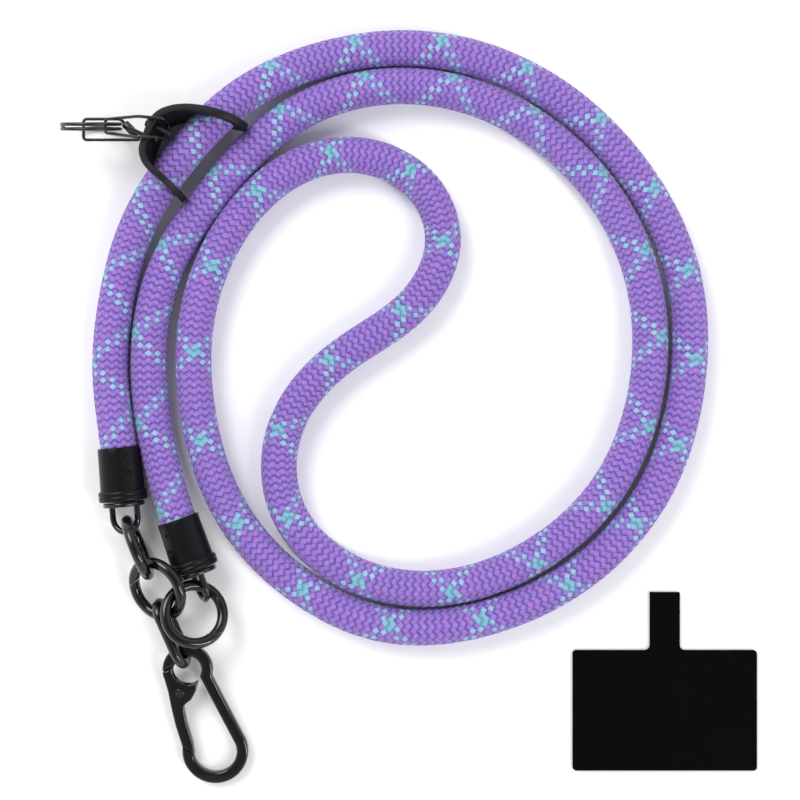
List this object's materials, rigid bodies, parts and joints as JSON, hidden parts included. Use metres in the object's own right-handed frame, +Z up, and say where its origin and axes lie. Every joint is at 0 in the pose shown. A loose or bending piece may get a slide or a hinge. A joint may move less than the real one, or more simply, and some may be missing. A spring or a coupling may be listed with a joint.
{
  "type": "phone crossbody strap",
  "caption": "Round braided crossbody strap with metal end cups, spring gate rings, a pear-shaped carabiner, a folded slider strip with a small chain, and a flat tether patch for a phone case.",
  "frame": {"origin": "on the surface the set lies on, under the middle of the box around everything except the rope", "axes": "+Z up out of the surface, +Y towards the top of the loops and +X towards the side the tether patch lies on, as laid out for the picture"},
  "size_m": [0.2298, 0.2483, 0.0237],
  "materials": {
    "rope_braid": "round braid of lavender yarn with turquoise tracer yarns",
    "satin_black_metal": "satin black coating on drawn cups",
    "gloss_black_metal": "glossy black electroplated zinc alloy",
    "black_wire": "black plated steel wire and small turned fittings",
    "black_leather": "smooth black strip with a soft sheen",
    "black_cloth": "fine woven black cloth, heat-sealed edges"
  },
  "bodies": {
    "strap": {"rope": "rope_braid", "end_cap_1": "satin_black_metal", "end_cap_2": "satin_black_metal", "cap_loop_1": "gloss_black_metal", "cap_loop_2": "gloss_black_metal", "gate_ring_1": "gloss_black_metal", "gate_ring_2": "gloss_black_metal", "gate_ring_3": "gloss_black_metal", "joining_link": "gloss_black_metal", "carabiner_frame": "gloss_black_metal", "gate_pin": "black_wire", "slider_strip": "black_leather", "strip_connector": "black_wire", "fold_stud": "black_wire", "chain_link_a": "black_wire", "chain_link_b": "black_wire", "split_ring": "black_wire", "patch": "black_cloth"},
    "ring_1_gate": {"gate_ring_1_gate": "gloss_black_metal"},
    "ring_2_gate": {"gate_ring_2_gate": "gloss_black_metal"},
    "ring_3_gate": {"gate_ring_3_gate": "gloss_black_metal"},
    "hook_gate": {"carabiner_gate": "gloss_black_metal"}
  },
  "joints": [
    {"name": "ring_1_gate_hinge", "type": "hinge", "parent": "strap", "child": "ring_1_gate", "pos_m": [-0.0874, -0.0351, 0.02002], "axis": [-0.9251, -0.37, 0.0854], "range_deg": [0, 25], "stiffness_Nm_per_rad": 0.01},
    {"name": "ring_2_gate_hinge", "type": "hinge", "parent": "strap", "child": "ring_2_gate", "pos_m": [-0.08529, -0.05363, 0.00632], "axis": [0.4994, 0.3206, -0.8049], "range_deg": [0, 14], "stiffness_Nm_per_rad": 0.01},
    {"name": "ring_3_gate_hinge", "type": "hinge", "parent": "strap", "child": "ring_3_gate", "pos_m": [-0.06356, -0.04924, 0.0076], "axis": [-0.3411, -0.2703, -0.9003], "range_deg": [0, 25], "stiffness_Nm_per_rad": 0.01},
    {"name": "carabiner_gate_hinge", "type": "hinge", "parent": "strap", "child": "hook_gate", "pos_m": [-0.0763, -0.08, 0.00484], "axis": [0, -0.0993, 0.9951], "range_deg": [0, 20], "stiffness_Nm_per_rad": 0.02}
  ]
}
